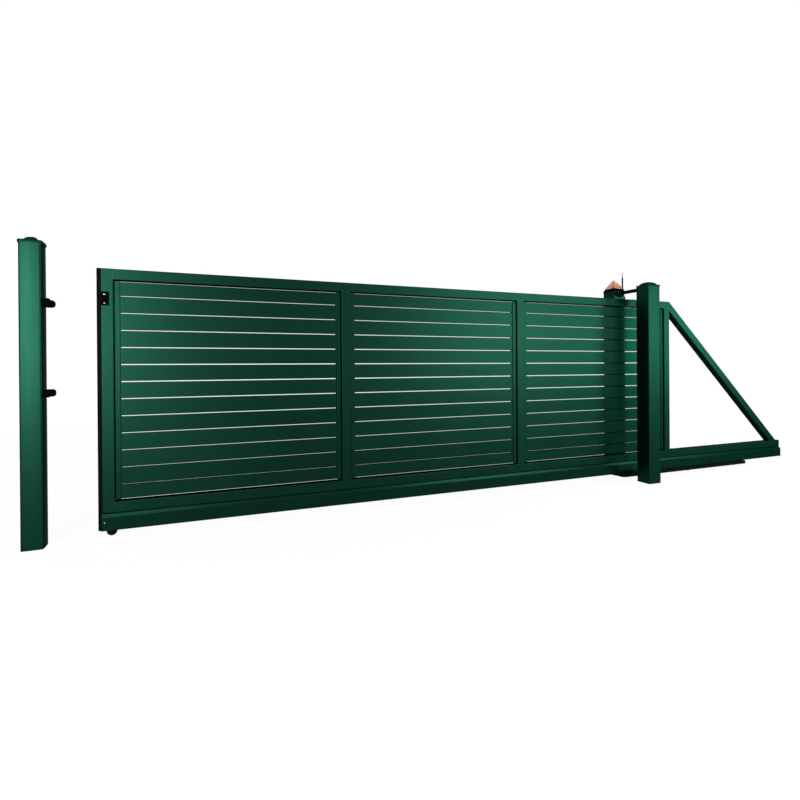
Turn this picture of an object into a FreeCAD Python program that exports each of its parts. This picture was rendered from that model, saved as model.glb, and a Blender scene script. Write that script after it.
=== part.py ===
import FreeCAD, Part
import math
import os

# Cantilever sliding driveway gate. Lengths in millimetres.
# The origin is the middle of the front guide post's foot. +X is the way the leaf
# opens, +Y goes back from the street side and +Z is up. The leaf stands part open.

# Driveway and posts
clear_opening = 4010.0
guide_post_size = 120.0
guide_post_height = 1556.0
guide_post_spacing = 230.0
catch_post_size = 102.0
catch_post_height = 1583.0
post_edge_radius = 5.0
catch_post_edge_radius = 14.0
cap_overhang = 3.0
cap_thickness = 8.0
cap_dome_inset = 10.0
cap_dome_run = 12.0
cap_dome_rise = 15.0
cap_crown_run = 20.0
cap_crown_rise = 9.0

# Rear post cap, signal lamp and antenna
lamp_cap_skirt = 6.0
lamp_cap_rise = 22.0
lamp_cap_bevel = 10.0
lamp_size = 104.0
lamp_skirt = 5.0
lamp_rise = 72.0
lamp_tip = 10.0
antenna_edge = 16.0
antenna_boss_radius = 8.0
antenna_boss_rise = 3.0
antenna_radius = 5.5
antenna_sleeve = 92.0
antenna_whip_radius = 2.0
antenna_whip = 40.0
antenna_ball_radius = 3.5

# Leaf frame
ground_clearance = 56.0
leaf_below_post_top = 86.0
leaf_standing_gap = 241.0
frame_size = 60.0
frame_edge_radius = 4.0
bay_length = 1275.0
rear_bay_length = 1427.0
tail_length = 1436.0
brace_end_setback = 40.0
safety_edge_depth = 20.0
safety_edge_radius = 8.0

# Running rail
rail_width = 90.0
rail_height = 90.0
rail_wall = 5.0
rail_slot = 30.0
rail_shoulder = 18.0
rail_cap_thickness = 5.0

# Infill
slat_height = 88.6
slat_gap = 5.4
slat_thickness = 26.0
slat_edge_radius = 1.0
panel_top_gap = 7.0
panel_bottom_gap = 10.0
strip_width = 26.0
strip_stand_off = 4.0
strip_web = 10.0
strip_thickness = 36.0
strip_edge_radius = 2.0
slat_entry = 12.0

# Wear plate on the closing stile
wear_plate_width = 40.0
wear_plate_height = 75.0
wear_plate_thickness = 3.0
wear_plate_below_top = 163.0

# End roller under the rail's front end
end_roller_radius = 26.0
end_roller_width = 16.0
end_roller_drop = 11.0
end_roller_setback = 42.0
cheek_thickness = 4.0
cheek_half_width = 14.0
cheek_rise = 30.0
axle_radius = 8.0
axle_head = 3.0

# Catches on the catch post
upper_catch_below_top = 195.0
catch_spacing = 474.0
catch_height = 40.0
catch_reach = 40.0
catch_plate = 4.0
catch_prong = 8.0
catch_corner = 16.0

# Guide bar, its half-round end plates and the guide rollers
bar_width = 20.0
bar_height = 26.0
bar_below_post_top = 2.0
end_plate_radius = 48.0
end_plate_thickness = 6.0
hanger_width = 36.0
hanger_thickness = 6.0
hanger_lap = 50.0
hanger_leg = 40.0
hanger_over_leaf = 7.0
hanger_lip = 14.0
guide_roller_radius = 18.0
guide_roller_height = 40.0
guide_roller_below_top = 14.0
guide_bolt_radius = 7.0
guide_bolt_head = 6.0
guide_bolt_head_radius = 11.0

# Base and trolleys
base_start = 145.0
base_tail_setback = 504.0
base_width = 120.0
base_underside = 26.0
base_end_radius = 25.0
base_stud_radius = 9.0
base_stud_pitch = 590.0
base_stud_inset = 60.0
base_stud_edge = 30.0
stem_thickness = 18.0
stem_length = 220.0
trolley_inset = 40.0
trolley_roller_radius = 35.0
trolley_roller_width = 15.0
trolley_roller_pitch = 130.0
trolley_axle_radius = 9.0
stem_over_axle = 18.0

# Clearances
running_clearance = 5.0
bearing_clearance = 0.3
spacer = 2.0

# Places taken from the sizes above
guide_half = guide_post_size / 2
leaf_y = guide_half + guide_post_spacing / 2
rear_post_y = guide_post_size + guide_post_spacing
catch_face_x = -guide_half - clear_opening
catch_post_x = catch_face_x - catch_post_size / 2
leaf_x = catch_face_x + leaf_standing_gap
stile_x = leaf_x + safety_edge_depth
first_bay_x = stile_x + frame_size
first_mullion_x = first_bay_x + bay_length
second_bay_x = first_mullion_x + frame_size
second_mullion_x = second_bay_x + bay_length
third_bay_x = second_mullion_x + frame_size
rear_stile_x = third_bay_x + rear_bay_length
frame_end_x = rear_stile_x + frame_size
tail_x = frame_end_x + tail_length
rail_top = ground_clearance + rail_height
infill_bottom = rail_top + frame_size
leaf_top = guide_post_height - leaf_below_post_top
infill_top = leaf_top - frame_size
panel_bottom = infill_bottom + panel_bottom_gap
panel_top = infill_top - panel_top_gap
bar_top = guide_post_height - bar_below_post_top
base_top = ground_clearance - running_clearance
base_end = tail_x - base_tail_setback
base_stud_span = base_start + base_end - 2 * base_stud_inset
base_stud_rows = int(base_stud_span // base_stud_pitch) + 1

os.makedirs("parts", exist_ok=True)


def point(x, y, z):
    return FreeCAD.Vector(x, y, z)


ALONG_X = point(1, 0, 0)
ALONG_Y = point(0, 1, 0)
ALONG_Z = point(0, 0, 1)


def block(x0, x1, y0, y1, z0, z1):
    return Part.makeBox(x1 - x0, y1 - y0, z1 - z0, point(x0, y0, z0))


def long_edges(shape, axis):
    """The straight edges of a block that run along one axis."""
    found = []
    for edge in shape.Edges:
        run = edge.Vertexes[1].Point - edge.Vertexes[0].Point
        if abs(run.dot(axis)) > 0.999 * run.Length:
            found.append(edge)
    return found


def upper_edges(shape, axis):
    """Those long edges that lie above the block's middle."""
    return [edge for edge in long_edges(shape, axis) if edge.CenterOfMass.z > shape.CenterOfMass.z]


def bar(x0, x1, y0, y1, z0, z1, axis, radius):
    """A tube or bar with rounded long edges."""
    solid = block(x0, x1, y0, y1, z0, z1)
    return solid.makeFillet(radius, long_edges(solid, axis))


def square(x, y, z, side):
    half = side / 2
    corners = [(-half, -half), (half, -half), (half, half), (-half, half), (-half, -half)]
    return Part.makePolygon([point(x + u, y + v, z) for u, v in corners])


def frustum(x, y, z, side, rise, top_side):
    return Part.makeLoft([square(x, y, z, side), square(x, y, z + rise, top_side)], True)


def rod_up(x, y, bottom, top, radius):
    return Part.makeCylinder(radius, top - bottom, point(x, y, bottom), ALONG_Z)


def rod_across(x, z, front, back, radius):
    return Part.makeCylinder(radius, back - front, point(x, front, z), ALONG_Y)


def joined(shapes):
    solid = shapes[0].multiFuse(shapes[1:])
    return solid.removeSplitter()


def save(name, shape):
    if shape.ShapeType == "Compound" and len(shape.Solids) == 1:
        shape = shape.Solids[0]
    shape.exportStep("parts/" + name + ".step")


# Posts: square tubes set in the ground
def post(x, y, size, height, radius):
    half = size / 2
    return bar(x - half, x + half, y - half, y + half, 0, height, ALONG_Z, radius)


save("catch_post", post(catch_post_x, leaf_y, catch_post_size, catch_post_height, catch_post_edge_radius))
save("front_guide_post", post(0, 0, guide_post_size, guide_post_height, post_edge_radius))
save("rear_guide_post", post(0, rear_post_y, guide_post_size, guide_post_height, post_edge_radius))


# Post caps: a plate with a dome of two slopes and a flat top
def post_cap(x, y, size, height, radius):
    half = size / 2 + cap_overhang
    plate_top = height + cap_thickness
    plate = bar(x - half, x + half, y - half, y + half, height, plate_top, ALONG_Z, radius)
    dome_side = size - 2 * cap_dome_inset
    crown_side = dome_side - 2 * cap_dome_run
    crown_z = plate_top + cap_dome_rise
    dome = frustum(x, y, plate_top, dome_side, cap_dome_rise, crown_side)
    crown = frustum(x, y, crown_z, crown_side, cap_crown_rise, crown_side - 2 * cap_crown_run)
    return joined([plate, dome, crown])


save("catch_post_cap",
     post_cap(catch_post_x, leaf_y, catch_post_size, catch_post_height, catch_post_edge_radius))
save("front_guide_post_cap", post_cap(0, 0, guide_post_size, guide_post_height, post_edge_radius))

# Rear post cap: a bevelled plate that carries the lamp and the antenna
cap_side = guide_post_size + 2 * cap_overhang
cap_top_side = cap_side - 2 * lamp_cap_bevel
bevel_z = guide_post_height + lamp_cap_skirt
lamp_z = bevel_z + lamp_cap_rise
antenna_x = cap_side / 2 - antenna_edge
antenna_y = rear_post_y - cap_side / 2 + antenna_edge
antenna_z = lamp_z + antenna_boss_rise
skirt = block(-cap_side / 2, cap_side / 2, rear_post_y - cap_side / 2, rear_post_y + cap_side / 2,
              guide_post_height, bevel_z)
bevel = frustum(0, rear_post_y, bevel_z, cap_side, lamp_cap_rise, cap_top_side)
boss = rod_up(antenna_x, antenna_y, guide_post_height, antenna_z, antenna_boss_radius)
save("rear_guide_post_cap", joined([skirt, bevel, boss]))

# Signal lamp: a four-sided lens, notched at one corner to clear the antenna
lamp_base = block(-lamp_size / 2, lamp_size / 2, rear_post_y - lamp_size / 2, rear_post_y + lamp_size / 2,
                  lamp_z, lamp_z + lamp_skirt)
lamp_roof = frustum(0, rear_post_y, lamp_z + lamp_skirt, lamp_size, lamp_rise, lamp_tip)
lamp_top = lamp_z + lamp_skirt + lamp_rise
antenna_room = rod_up(antenna_x, antenna_y, lamp_z, lamp_top, antenna_boss_radius + spacer)
save("signal_lamp", joined([lamp_base, lamp_roof]).cut(antenna_room))

# Antenna: a sleeve, a thin whip and a ball tip
sleeve_z = antenna_z + antenna_sleeve
whip_z = sleeve_z + antenna_whip
sleeve = rod_up(antenna_x, antenna_y, antenna_z, sleeve_z, antenna_radius)
whip = rod_up(antenna_x, antenna_y, sleeve_z, whip_z, antenna_whip_radius)
ball = Part.makeSphere(antenna_ball_radius, point(antenna_x, antenna_y, whip_z))
save("antenna", joined([sleeve, whip, ball]))


# Catches: two prongs on a plate, which take the leaf between them
def catch(level):
    face = catch_face_x
    bottom = level - catch_height / 2
    top = level + catch_height / 2
    half = catch_post_size / 2
    plate = block(face, face + catch_plate, leaf_y - half, leaf_y + half, bottom, top)
    prongs = []
    for near in (leaf_y - half, leaf_y + half - catch_prong):
        prong = block(face, face + catch_reach, near, near + catch_prong, bottom, top)
        tips = [edge for edge in long_edges(prong, ALONG_Y) if edge.CenterOfMass.x > face + catch_plate]
        prongs.append(prong.makeFillet(catch_corner, tips))
    return joined([plate] + prongs)


upper_catch_level = leaf_top - upper_catch_below_top
save("upper_catch", catch(upper_catch_level))
save("lower_catch", catch(upper_catch_level - catch_spacing))

# Guide bar across the portal, with a half-round plate on each post
bar_start_y = guide_half
bar_end_y = guide_half + guide_post_spacing
guide_bar = block(-bar_width / 2, bar_width / 2, bar_start_y, bar_end_y, bar_top - bar_height, bar_top)
end_plates = []
for plate_y in (bar_start_y, bar_end_y - end_plate_thickness):
    plate_back = plate_y + end_plate_thickness
    disc = rod_across(0, bar_top, plate_y, plate_back, end_plate_radius)
    above = block(-end_plate_radius, end_plate_radius, plate_y, plate_back,
                  bar_top, bar_top + end_plate_radius)
    end_plates.append(disc.cut(above))
save("guide_bar", joined([guide_bar] + end_plates))

# Guide rollers: each hangs from an angle on a post's side, one on each side of the top rail
roller_x = guide_half + hanger_width / 2
roller_top = leaf_top - guide_roller_below_top
roller_bottom = roller_top - guide_roller_height
head_top = roller_bottom - bearing_clearance
head_bottom = head_top - guide_bolt_head
hanger_bottom = leaf_top + hanger_over_leaf
for side_name, side, post_face in (("front", -1, bar_start_y), ("rear", 1, bar_end_y)):
    roller_y = leaf_y + side * (frame_size / 2 + bearing_clearance + guide_roller_radius)
    lap_y = post_face + side * hanger_lap
    leg_front, leg_back = sorted([lap_y, post_face])
    arm_front, arm_back = sorted([lap_y, roller_y - side * hanger_lip])
    leg = block(guide_half, guide_half + hanger_thickness, leg_front, leg_back,
                hanger_bottom, hanger_bottom + hanger_leg)
    arm = block(guide_half, guide_half + hanger_width, arm_front, arm_back,
                hanger_bottom, hanger_bottom + hanger_thickness)
    bolt = rod_up(roller_x, roller_y, head_bottom, hanger_bottom, guide_bolt_radius)
    head = rod_up(roller_x, roller_y, head_bottom, head_top, guide_bolt_head_radius)
    save(side_name + "_guide_hanger", joined([leg, arm, bolt, head]))
    wheel = rod_up(roller_x, roller_y, roller_bottom, roller_top, guide_roller_radius)
    bore = rod_up(roller_x, roller_y, roller_bottom, roller_top, guide_bolt_radius + bearing_clearance)
    save(side_name + "_guide_roller", wheel.cut(bore))

# Base under the leaf: a bar with rounded ends on a row of levelling studs near its back edge
base_half = base_width / 2
base_back = leaf_y + base_half
base_bar = bar(-base_start, base_end, leaf_y - base_half, base_back, base_underside, base_top, ALONG_Z,
               base_end_radius)
studs = []
for row in range(base_stud_rows):
    stud_x = base_end - base_stud_inset - row * base_stud_pitch
    studs.append(rod_up(stud_x, base_back - base_stud_edge, 0, base_underside, base_stud_radius))
save("base_channel", joined([base_bar] + studs))

# Trolleys: rollers on a stem that reaches up through the rail's slot
trolley_axle_z = rail_top - rail_wall - bearing_clearance - trolley_roller_radius
roller_inner = stem_thickness / 2 + spacer
roller_outer = roller_inner + trolley_roller_width
for trolley_name, start in (("front_trolley", trolley_inset - base_start),
                            ("rear_trolley", base_end - trolley_inset - stem_length)):
    middle = start + stem_length / 2
    stem = block(start, start + stem_length, leaf_y - stem_thickness / 2, leaf_y + stem_thickness / 2,
                 base_top, trolley_axle_z + stem_over_axle)
    wheels = []
    for x in (middle - trolley_roller_pitch / 2, middle + trolley_roller_pitch / 2):
        wheels.append(rod_across(x, trolley_axle_z, leaf_y - roller_outer, leaf_y + roller_outer,
                                 trolley_axle_radius))
        for front in (leaf_y - roller_outer, leaf_y + roller_inner):
            wheels.append(rod_across(x, trolley_axle_z, front, front + trolley_roller_width,
                                     trolley_roller_radius))
    save(trolley_name, joined([stem] + wheels))

# Leaf frame: square tubes
front_y = leaf_y - frame_size / 2
back_y = leaf_y + frame_size / 2


def upright(x, bottom, top):
    return bar(x, x + frame_size, front_y, back_y, bottom, top, ALONG_Z, frame_edge_radius)


save("closing_stile", upright(stile_x, rail_top, leaf_top))
save("first_mullion", upright(first_mullion_x, infill_bottom, infill_top))
save("second_mullion", upright(second_mullion_x, infill_bottom, infill_top))
save("rear_stile", upright(rear_stile_x, infill_bottom, infill_top))


def level_tube(end, bottom, top):
    return bar(first_bay_x, end, front_y, back_y, bottom, top, ALONG_X, frame_edge_radius)


save("top_rail", level_tube(frame_end_x, infill_top, leaf_top))
save("bottom_rail", level_tube(tail_x, rail_top, infill_bottom))

# Tail brace: a tube from the leaf's top corner down to the tail of the bottom rail
brace_foot_x = tail_x - brace_end_setback
brace_run = brace_foot_x - frame_end_x
brace_drop = leaf_top - infill_bottom
brace_angle = math.degrees(math.atan2(brace_drop, brace_run))
brace_length = math.hypot(brace_run, brace_drop)
brace_spare = 2 * frame_size
brace = bar(-brace_spare, brace_length + brace_spare, front_y, back_y, -frame_size, 0, ALONG_X,
            frame_edge_radius)
brace.rotate(point(0, 0, 0), ALONG_Y, brace_angle)
brace.translate(point(frame_end_x, 0, leaf_top))
brace_space = block(frame_end_x, tail_x, front_y, back_y, infill_bottom, leaf_top)
save("tail_brace", brace.common(brace_space))

# Running rail: a slotted channel under the leaf
half_rail = rail_width / 2


def channel(half_width, bottom, top, shoulder):
    solid = block(stile_x, tail_x, leaf_y - half_width, leaf_y + half_width, bottom, top)
    return solid.makeChamfer(shoulder, upper_edges(solid, ALONG_X))


rail_outside = channel(half_rail, ground_clearance, rail_top, rail_shoulder)
rail_inside = channel(half_rail - rail_wall, ground_clearance + rail_wall, rail_top - rail_wall,
                      rail_shoulder - rail_wall)
slot_cut = block(stile_x, tail_x, leaf_y - rail_slot / 2, leaf_y + rail_slot / 2,
                 ground_clearance, rail_top - rail_shoulder)
save("track_rail", rail_outside.cut(rail_inside).cut(slot_cut))


# Rail caps: a plate on each end, the front one with the fork that carries the end roller
def rail_cap(x):
    plate = block(x, x + rail_cap_thickness, leaf_y - half_rail, leaf_y + half_rail,
                  ground_clearance, rail_top)
    return plate.makeChamfer(rail_shoulder, upper_edges(plate, ALONG_X))


save("rear_rail_cap", rail_cap(tail_x))

front_cap_x = stile_x - rail_cap_thickness
end_roller_x = stile_x + end_roller_setback
end_roller_z = ground_clearance - end_roller_drop
cheek_inner = end_roller_width / 2 + spacer
cheek_outer = cheek_inner + cheek_thickness
cheek_left = end_roller_x - cheek_half_width
cheek_right = end_roller_x + cheek_half_width
cheek_top = ground_clearance + cheek_rise
fork = [rail_cap(front_cap_x)]
for cheek_y in (leaf_y - cheek_outer, leaf_y + cheek_inner):
    cheek_back = cheek_y + cheek_thickness
    fork.append(block(front_cap_x, cheek_right, cheek_y, cheek_back, ground_clearance, cheek_top))
    fork.append(block(cheek_left, cheek_right, cheek_y, cheek_back, end_roller_z, ground_clearance))
    fork.append(rod_across(end_roller_x, end_roller_z, cheek_y, cheek_back, cheek_half_width))
fork.append(rod_across(end_roller_x, end_roller_z, leaf_y - cheek_outer - axle_head,
                       leaf_y + cheek_outer + axle_head, axle_radius))
save("front_rail_cap", joined(fork))

# End roller
roller_front = leaf_y - end_roller_width / 2
roller_back = leaf_y + end_roller_width / 2
roller_disc = rod_across(end_roller_x, end_roller_z, roller_front, roller_back, end_roller_radius)
bore_radius = axle_radius + bearing_clearance
roller_bore = rod_across(end_roller_x, end_roller_z, roller_front, roller_back, bore_radius)
save("end_roller", roller_disc.cut(roller_bore))

# Safety edge: a rubber buffer down the closing stile and on over the rail's cap
safety_edge = block(leaf_x, stile_x, front_y, back_y, ground_clearance, leaf_top)
middle_x = safety_edge.CenterOfMass.x
nose = [edge for edge in long_edges(safety_edge, ALONG_Z) if edge.CenterOfMass.x < middle_x]
cap_room = block(front_cap_x, stile_x, front_y, back_y, ground_clearance, rail_top)
save("safety_edge", safety_edge.makeFillet(safety_edge_radius, nose).cut(cap_room))

# Wear plate where the upper catch takes the stile
wear_plate_level = leaf_top - wear_plate_below_top
save("wear_plate", block(stile_x, stile_x + wear_plate_width, front_y - wear_plate_thickness, front_y,
                         wear_plate_level - wear_plate_height / 2, wear_plate_level + wear_plate_height / 2))

# Infill panels: level slats held between two upright edge strips, which stand a little off the frame
pitch = slat_height + slat_gap
panel_height = panel_top - panel_bottom
whole_slats = int(panel_height // pitch) - 1
end_slat = (panel_height - slat_gap - whole_slats * pitch) / 2


def infill_panel(start, length):
    strip_front = leaf_y - strip_thickness / 2
    strip_back = leaf_y + strip_thickness / 2
    pieces = []
    end = start + length
    left_strip = start + strip_stand_off
    right_strip = end - strip_stand_off - strip_width
    for x in (left_strip, right_strip):
        pieces.append(bar(x, x + strip_width, strip_front, strip_back, panel_bottom, panel_top,
                          ALONG_Z, strip_edge_radius))
    for web_start, web_end in ((start, left_strip + slat_entry), (end - strip_stand_off - slat_entry, end)):
        pieces.append(block(web_start, web_end, leaf_y - strip_web / 2, leaf_y + strip_web / 2,
                            panel_bottom, panel_top))
    left = left_strip + strip_width - slat_entry
    right = right_strip + slat_entry
    heights = [end_slat] + [slat_height] * whole_slats + [end_slat]
    level = panel_bottom
    for height in heights:
        pieces.append(bar(left, right, leaf_y - slat_thickness / 2, leaf_y + slat_thickness / 2,
                          level, level + height, ALONG_X, slat_edge_radius))
        level += height + slat_gap
    return joined(pieces)


save("front_infill", infill_panel(first_bay_x, bay_length))
save("middle_infill", infill_panel(second_bay_x, bay_length))
save("rear_infill", infill_panel(third_bay_x, rear_bay_length))
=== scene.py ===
import math

import bmesh
import bpy
from mathutils import Matrix, Vector


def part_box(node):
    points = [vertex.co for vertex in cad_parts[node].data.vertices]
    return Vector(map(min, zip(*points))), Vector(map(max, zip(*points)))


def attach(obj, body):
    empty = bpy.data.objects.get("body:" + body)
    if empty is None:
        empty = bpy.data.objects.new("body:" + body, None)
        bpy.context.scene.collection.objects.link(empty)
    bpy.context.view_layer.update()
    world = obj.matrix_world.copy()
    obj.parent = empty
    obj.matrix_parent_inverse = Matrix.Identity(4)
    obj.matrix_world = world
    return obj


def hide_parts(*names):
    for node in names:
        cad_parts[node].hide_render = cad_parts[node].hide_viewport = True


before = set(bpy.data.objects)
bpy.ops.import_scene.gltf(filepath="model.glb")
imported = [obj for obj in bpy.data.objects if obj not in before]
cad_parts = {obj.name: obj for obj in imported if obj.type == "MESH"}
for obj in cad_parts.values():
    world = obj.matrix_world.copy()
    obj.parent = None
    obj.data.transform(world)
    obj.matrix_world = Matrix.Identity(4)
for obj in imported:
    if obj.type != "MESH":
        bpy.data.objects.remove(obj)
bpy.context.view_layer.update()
scene = bpy.context.scene
scene.view_settings.view_transform = "Standard"

# The camera: at chest height on the street side, left of the gate's middle, with a wide lens.
# It is turned towards the guide posts and its frame is shifted a little down.
eye = Vector((-3.345, -2.975, 0.920))
turn, tilt, lean = math.radians(22.162), math.radians(-0.118), math.radians(0.396)
level_ahead = Vector((math.sin(turn), math.cos(turn), 0))
level_right = Vector((math.cos(turn), -math.sin(turn), 0))
upright = Vector((0, 0, 1))
ahead = math.cos(tilt) * level_ahead + math.sin(tilt) * upright
over = math.cos(tilt) * upright - math.sin(tilt) * level_ahead
camera_right = math.cos(lean) * level_right - math.sin(lean) * over
camera_up = math.sin(lean) * level_right + math.cos(lean) * over
camera_data = bpy.data.cameras.new("street_camera")
camera_data.sensor_width = 36
camera_data.lens = 22.721
camera_data.shift_y = -0.0385
camera_data.clip_end = 200
camera = bpy.data.objects.new("street_camera", camera_data)
scene.collection.objects.link(camera)
camera_axes = Matrix((camera_right, camera_up, -ahead)).transposed()
camera.matrix_world = Matrix.Translation(eye) @ camera_axes.to_4x4()
scene.camera = camera

# The studio: a wide pale floor that runs out into white, and an even white surround. The camera and
# glass see both as white and gloss sees the floor a little dimmer, and the light that the surround
# throws on the gate is softer than it looks.
FLOOR_REACH = 60
FLOOR_SHADE = 0.06
FLOOR_GLOW_NEAR = 0.94
FLOOR_GLOW_FAR = 1.0
FLOOR_NEAR = 5.0
FLOOR_FAR = 10.0
FLOOR_MIRRORED = 0.80
FLOOR_MIDDLE = (-1.2, 0.2, 0.0)
SURROUND_LIGHT = 0.20


def node(tree, kind, inputs=None, **settings):
    """Adds a shader node, with its settings, and fills or links its inputs."""
    made = tree.nodes.new("ShaderNode" + kind)
    for name, value in settings.items():
        setattr(made, name, value)
    for name, value in (inputs or {}).items():
        if isinstance(value, bpy.types.NodeSocket):
            tree.links.new(value, made.inputs[name])
        else:
            made.inputs[name].default_value = value
    return made


def seen_directly(tree):
    """1 for what the camera, a reflection or glass sees, and 0 for the light that lands on a surface."""
    path = node(tree, "LightPath").outputs
    mirrored = node(tree, "Math", {0: path["Is Camera Ray"], 1: path["Is Glossy Ray"]}, operation="ADD")
    through = node(tree, "Math", {0: mirrored.outputs[0], 1: path["Is Transmission Ray"]}, operation="ADD",
                   use_clamp=True)
    return through.outputs[0]


def new_material(name):
    made = bpy.data.materials.new(name)
    made.use_nodes = True
    made.node_tree.nodes.clear()
    return made, made.node_tree


floor_finish, tree = new_material("pale_floor")
floor_place = node(tree, "TexCoord").outputs["Object"]
away = node(tree, "VectorMath", {0: floor_place, 1: FLOOR_MIDDLE}, operation="DISTANCE")
level = node(tree, "MapRange", {"Value": away.outputs["Value"], "From Min": FLOOR_NEAR, "From Max": FLOOR_FAR,
                                "To Min": FLOOR_GLOW_NEAR, "To Max": FLOOR_GLOW_FAR})
mirrored = node(tree, "LightPath").outputs["Is Glossy Ray"]
share = node(tree, "MapRange", {"Value": mirrored, "To Min": 1.0, "To Max": FLOOR_MIRRORED})
toned = node(tree, "Math", {0: share.outputs[0], 1: level.outputs[0]}, operation="MULTIPLY")
glow = node(tree, "Math", {0: seen_directly(tree), 1: toned.outputs[0]}, operation="MULTIPLY")
lit = node(tree, "BsdfDiffuse", {"Color": (FLOOR_SHADE, FLOOR_SHADE, FLOOR_SHADE, 1)})
shown = node(tree, "Emission", {"Color": (1, 1, 1, 1), "Strength": glow.outputs[0]})
both = node(tree, "AddShader", {0: lit.outputs[0], 1: shown.outputs[0]})
node(tree, "OutputMaterial", {"Surface": both.outputs[0]})

floor_mesh = bpy.data.meshes.new("studio_floor")
corners = [(-1, -1), (1, -1), (1, 1), (-1, 1)]
floor_mesh.from_pydata([(x * FLOOR_REACH, y * FLOOR_REACH, 0) for x, y in corners], [], [(0, 1, 2, 3)])
floor_mesh.materials.append(floor_finish)
floor = bpy.data.objects.new("studio_floor", floor_mesh)
scene.collection.objects.link(floor)

world = bpy.data.worlds.new("white_surround")
world.use_nodes = True
scene.world = world
tree = world.node_tree
tree.nodes.clear()
spread = node(tree, "Math", {0: seen_directly(tree), 1: 1 - SURROUND_LIGHT, 2: SURROUND_LIGHT},
              operation="MULTIPLY_ADD")
sky = node(tree, "Background", {"Color": (1, 1, 1, 1), "Strength": spread.outputs[0]})
node(tree, "OutputWorld", {"Surface": sky.outputs[0]})

# The lamps: three soft boxes on the street side, whose soft images in the satin paint give the gate
# its bright fields, two strips overhead for the rail's shoulder, a pair high up behind the gate, and
# a weak strip behind the front guide post that lifts the leaf's shaded part there.
LAMPS = {
    "front_left": ((-5.95, -6.0, 1.75), (-4.0, 0.1, 1.1), 1.6, 2.0, 540),
    "front_middle": ((2.7, -6.0, 1.95), (-0.3, 0.1, 1.1), 2.6, 1.8, 290),
    "front_right": ((8.2, -6.0, 1.95), (-0.3, 0.1, 1.1), 2.2, 1.8, 490),
    "overhead_left": ((-4.4, -1.3, 5.5), (-4.4, -0.9, 0.0), 2.0, 2.0, 55),
    "overhead_right": ((4.0, -1.3, 5.5), (4.0, -0.9, 0.0), 7.0, 2.2, 300),
    "back_left": ((-7.4, 4.4, 5.4), (-4.0, 0.2, 1.1), 2.4, 1.7, 90),
    "back_right": ((4.3, 5.0, 5.0), (-0.3, 0.2, 1.1), 3.0, 1.7, 110),
    "post_fill": ((-0.03, 0.078, 0.76), (-0.03, 1.0, 0.76), 0.20, 1.38, 1.0),
}
for lamp_name, (place, target, width, height, power) in LAMPS.items():
    lamp_data = bpy.data.lights.new(lamp_name, "AREA")
    lamp_data.shape = "RECTANGLE"
    lamp_data.size = width
    lamp_data.size_y = height
    lamp_data.energy = power
    lamp = bpy.data.objects.new(lamp_name, lamp_data)
    scene.collection.objects.link(lamp)
    lamp.location = place
    lamp.rotation_euler = (Vector(target) - Vector(place)).to_track_quat("-Z", "Y").to_euler()
    lamp.visible_camera = False

# The posts: square steel tubes set in the ground, one to catch the leaf and a pair that guides it.
# They are powder coated moss green, satin, with the fine orange peel that such a coat has.
MOSS_GREEN = (0.0031, 0.0200, 0.0125)
MOSS_GREEN_THIN = (0.0040, 0.0260, 0.0163, 1)
SATIN = 0.385
GUIDE_POST_RADIUS = 0.005
CATCH_POST_RADIUS = 0.009
CATCH_POST_CROWN = 0.0011


def moss_green(share):
    """The coat's green, paler or darker by a share."""
    return (*[share * part for part in MOSS_GREEN], 1)


def worn_edge(tree, radius, flat, sharp):
    """1 along a piece's edges and 0 on its faces, by how far a rounded normal turns from the true one."""
    rounded = node(tree, "Bevel", {"Radius": radius}, samples=4)
    true_normal = node(tree, "NewGeometry").outputs["Normal"]
    turned_by = node(tree, "VectorMath", {0: rounded.outputs[0], 1: true_normal}, operation="DOT_PRODUCT")
    edge = node(tree, "MapRange", {"Value": turned_by.outputs["Value"], "From Min": flat, "From Max": sharp})
    return edge.outputs[0]


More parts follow.
